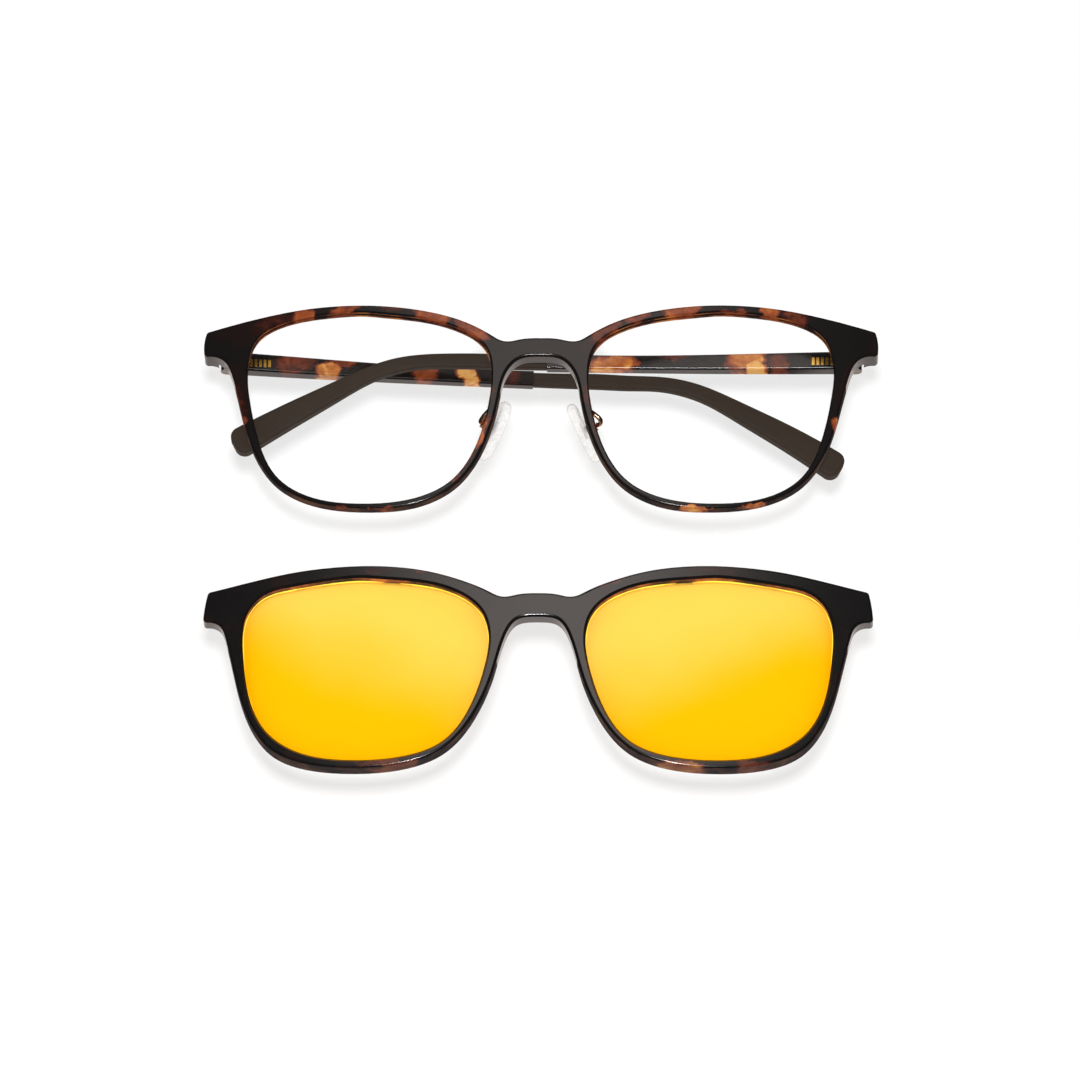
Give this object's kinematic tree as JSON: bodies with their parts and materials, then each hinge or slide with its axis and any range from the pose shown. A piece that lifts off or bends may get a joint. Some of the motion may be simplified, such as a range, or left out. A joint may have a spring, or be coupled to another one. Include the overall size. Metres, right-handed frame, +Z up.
{
  "type": "spectacles with a magnetic clip-on",
  "caption": "Full-rim spectacles with folding temples and clear lenses, with a separate yellow-lens clip-on front that slides up onto them and is held by magnets.",
  "frame": {"origin": "nose saddle: the middle of the underside of the spectacles' bridge, at half its depth", "axes": "+X to the wearer's left along the front, +Y to the back of the head, +Z up; the temples are folded and the clip-on is parked below the front"},
  "size_m": [0.146, 0.0363, 0.1102],
  "materials": {
    "frame_acetate": "polished tortoise-pattern acetate, nearly black with amber patches",
    "clear_lens": "clear, anti-reflection coated",
    "hinge_steel": "gunmetal",
    "magnet": "nickel-plated magnet",
    "pad_arm": "rose-gold plated wire",
    "pad_screw": "small steel screw",
    "pad_post": "steel foot",
    "nose_pad": "clear silicone",
    "temple_acetate": "satin tortoise-pattern acetate",
    "tip_sleeve": "matt dark brown soft-touch",
    "core_steel": "spring steel strip",
    "anchor_brass": "gilt",
    "clip_acetate": "satin tortoise-pattern acetate",
    "yellow_lens": "yellow night-driving tint"
  },
  "bodies": {
    "front": {"front_frame": "frame_acetate", "lens_right": "clear_lens", "hinge_front_leaf_right": "hinge_steel", "hinge_screw_right": "hinge_steel", "frame_magnet_right": "magnet", "pad_arm_right": "pad_arm", "pad_screw_right": "pad_screw", "lens_left": "clear_lens", "hinge_front_leaf_left": "hinge_steel", "hinge_screw_left": "hinge_steel", "frame_magnet_left": "magnet", "pad_arm_left": "pad_arm", "pad_screw_left": "pad_screw"},
    "temple_right": {"temple_arm_right": "temple_acetate", "temple_tip_right": "tip_sleeve", "temple_core_right": "core_steel", "hinge_temple_leaf_right": "hinge_steel", "hinge_anchor_right": "anchor_brass"},
    "nose_pad_right": {"nose_pad_right": "nose_pad", "pad_post_right": "pad_post"},
    "temple_left": {"temple_arm_left": "temple_acetate", "temple_tip_left": "tip_sleeve", "temple_core_left": "core_steel", "hinge_temple_leaf_left": "hinge_steel", "hinge_anchor_left": "anchor_brass"},
    "nose_pad_left": {"nose_pad_left": "nose_pad", "pad_post_left": "pad_post"},
    "clip_on": {"clip_frame": "clip_acetate", "clip_lens_right": "yellow_lens", "clip_magnet_right": "magnet", "clip_lens_left": "yellow_lens", "clip_magnet_left": "magnet"}
  },
  "joints": [
    {"name": "temple_right_hinge", "type": "hinge", "parent": "front", "child": "temple_right", "pos_m": [-0.06805, 0.00975, 0.00475], "axis": [0, 0, 1], "range_deg": [0, 82.7], "deforming": ["temple_tip_right", "temple_core_right"]},
    {"name": "temple_left_hinge", "type": "hinge", "parent": "front", "child": "temple_left", "pos_m": [0.06805, 0.00975, 0.00475], "axis": [0, 0, -1], "range_deg": [0, 90.2], "deforming": ["temple_tip_left", "temple_core_left"]},
    {"name": "nose_pad_right_rock", "type": "hinge", "parent": "front", "child": "nose_pad_right", "pos_m": [-0.0117, 0.0073, -0.0118], "axis": [0.4947, -0.848, -0.1899], "range_deg": [-8, 8]},
    {"name": "nose_pad_left_rock", "type": "hinge", "parent": "front", "child": "nose_pad_left", "pos_m": [0.0112, 0.0073, -0.0124], "axis": [-0.221, -0.9703, -0.0984], "range_deg": [-8, 8]},
    {"name": "clip_on_slide", "type": "slide", "parent": "front", "child": "clip_on", "axis": [0, 0, 1], "range_m": [0, 0.0622]}
  ]
}
